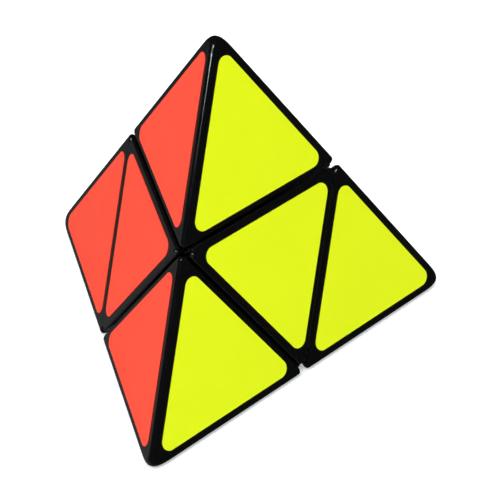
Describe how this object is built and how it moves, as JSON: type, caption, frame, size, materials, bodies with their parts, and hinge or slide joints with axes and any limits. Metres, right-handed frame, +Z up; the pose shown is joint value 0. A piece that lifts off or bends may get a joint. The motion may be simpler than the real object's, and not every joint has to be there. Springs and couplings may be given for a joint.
{
  "type": "pyramid twisty puzzle",
  "caption": "Tetrahedral twisty puzzle: triangular corner and face pieces with coloured stickers that turn in halves about a hidden core.",
  "frame": {"origin": "centre of the face that the puzzle stands on, on the outside of its middle sticker", "axes": "+Z up through the top point; -Y towards the front bottom point, below the ridge between the yellow and red sides; +X to the right, towards the yellow side"},
  "size_m": [0.0898, 0.0785, 0.0745],
  "materials": {
    "black_plastic": "glossy moulded black ABS with fine handling scratches",
    "mechanism_plastic": "satin black sliding plastic",
    "core_plastic": "satin light grey moulded plastic",
    "steel": "plain bright steel",
    "sticker_yellow": "flat fluorescent yellow vinyl sticker",
    "sticker_red": "flat fluorescent red vinyl sticker",
    "sticker_green": "flat green vinyl sticker",
    "sticker_blue": "flat blue vinyl sticker"
  },
  "bodies": {
    "core": {"core": "core_plastic", "screw_front": "steel", "screw_back": "steel", "screw_upper_right": "steel", "screw_lower_left": "steel", "screw_upper_left": "steel", "screw_lower_right": "steel", "spring_front": "steel", "spring_back": "steel", "spring_upper_right": "steel", "spring_lower_left": "steel", "spring_upper_left": "steel", "spring_lower_right": "steel", "hidden_edge_upper_right_upper_left": "mechanism_plastic", "hidden_edge_upper_right_lower_right": "mechanism_plastic", "hidden_edge_lower_left_upper_left": "mechanism_plastic", "hidden_edge_lower_left_lower_right": "mechanism_plastic"},
    "front_half": {"centre_cap_front": "mechanism_plastic", "hidden_edge_front_upper_right": "mechanism_plastic", "hidden_edge_front_lower_left": "mechanism_plastic", "hidden_edge_front_upper_left": "mechanism_plastic", "hidden_edge_front_lower_right": "mechanism_plastic", "corner_shell_top": "black_plastic", "corner_base_top": "black_plastic", "sticker_yellow_top": "sticker_yellow", "sticker_red_top": "sticker_red", "sticker_green_top": "sticker_green", "corner_shell_front": "black_plastic", "corner_base_front": "black_plastic", "sticker_yellow_front": "sticker_yellow", "sticker_red_front": "sticker_red", "sticker_blue_front": "sticker_blue", "face_piece_right": "black_plastic", "sticker_yellow_centre": "sticker_yellow", "face_piece_left": "black_plastic", "sticker_red_centre": "sticker_red"},
    "rear_half": {"centre_cap_back": "mechanism_plastic", "hidden_edge_back_upper_right": "mechanism_plastic", "hidden_edge_back_lower_left": "mechanism_plastic", "hidden_edge_back_upper_left": "mechanism_plastic", "hidden_edge_back_lower_right": "mechanism_plastic", "corner_shell_right": "black_plastic", "corner_base_right": "black_plastic", "sticker_yellow_right": "sticker_yellow", "sticker_green_right": "sticker_green", "sticker_blue_right": "sticker_blue", "corner_shell_left": "black_plastic", "corner_base_left": "black_plastic", "sticker_red_left": "sticker_red", "sticker_green_left": "sticker_green", "sticker_blue_left": "sticker_blue", "face_piece_rear": "black_plastic", "sticker_green_centre": "sticker_green", "face_piece_bottom": "black_plastic", "sticker_blue_centre": "sticker_blue"},
    "upper_right_cap": {"centre_cap_upper_right": "mechanism_plastic"},
    "lower_left_cap": {"centre_cap_lower_left": "mechanism_plastic"},
    "upper_left_cap": {"centre_cap_upper_left": "mechanism_plastic"},
    "lower_right_cap": {"centre_cap_lower_right": "mechanism_plastic"}
  },
  "joints": [
    {"name": "front_half_turn", "type": "hinge", "parent": "core", "child": "front_half", "pos_m": [0, 0, 0.01979], "axis": [0, -0.8165, 0.5774], "continuous": true},
    {"name": "rear_half_turn", "type": "hinge", "parent": "core", "child": "rear_half", "pos_m": [0, 0, 0.01979], "axis": [0, -0.8165, 0.5774], "continuous": true},
    {"name": "upper_right_cap_spin", "type": "hinge", "parent": "core", "child": "upper_right_cap", "pos_m": [0, 0, 0.01979], "axis": [0.7071, 0.4082, 0.5774], "continuous": true},
    {"name": "lower_left_cap_spin", "type": "hinge", "parent": "core", "child": "lower_left_cap", "pos_m": [0, 0, 0.01979], "axis": [-0.7071, -0.4082, -0.5774], "continuous": true},
    {"name": "upper_left_cap_spin", "type": "hinge", "parent": "core", "child": "upper_left_cap", "pos_m": [0, 0, 0.01979], "axis": [-0.7071, 0.4082, 0.5774], "continuous": true},
    {"name": "lower_right_cap_spin", "type": "hinge", "parent": "core", "child": "lower_right_cap", "pos_m": [0, 0, 0.01979], "axis": [0.7071, -0.4082, -0.5774], "continuous": true}
  ]
}
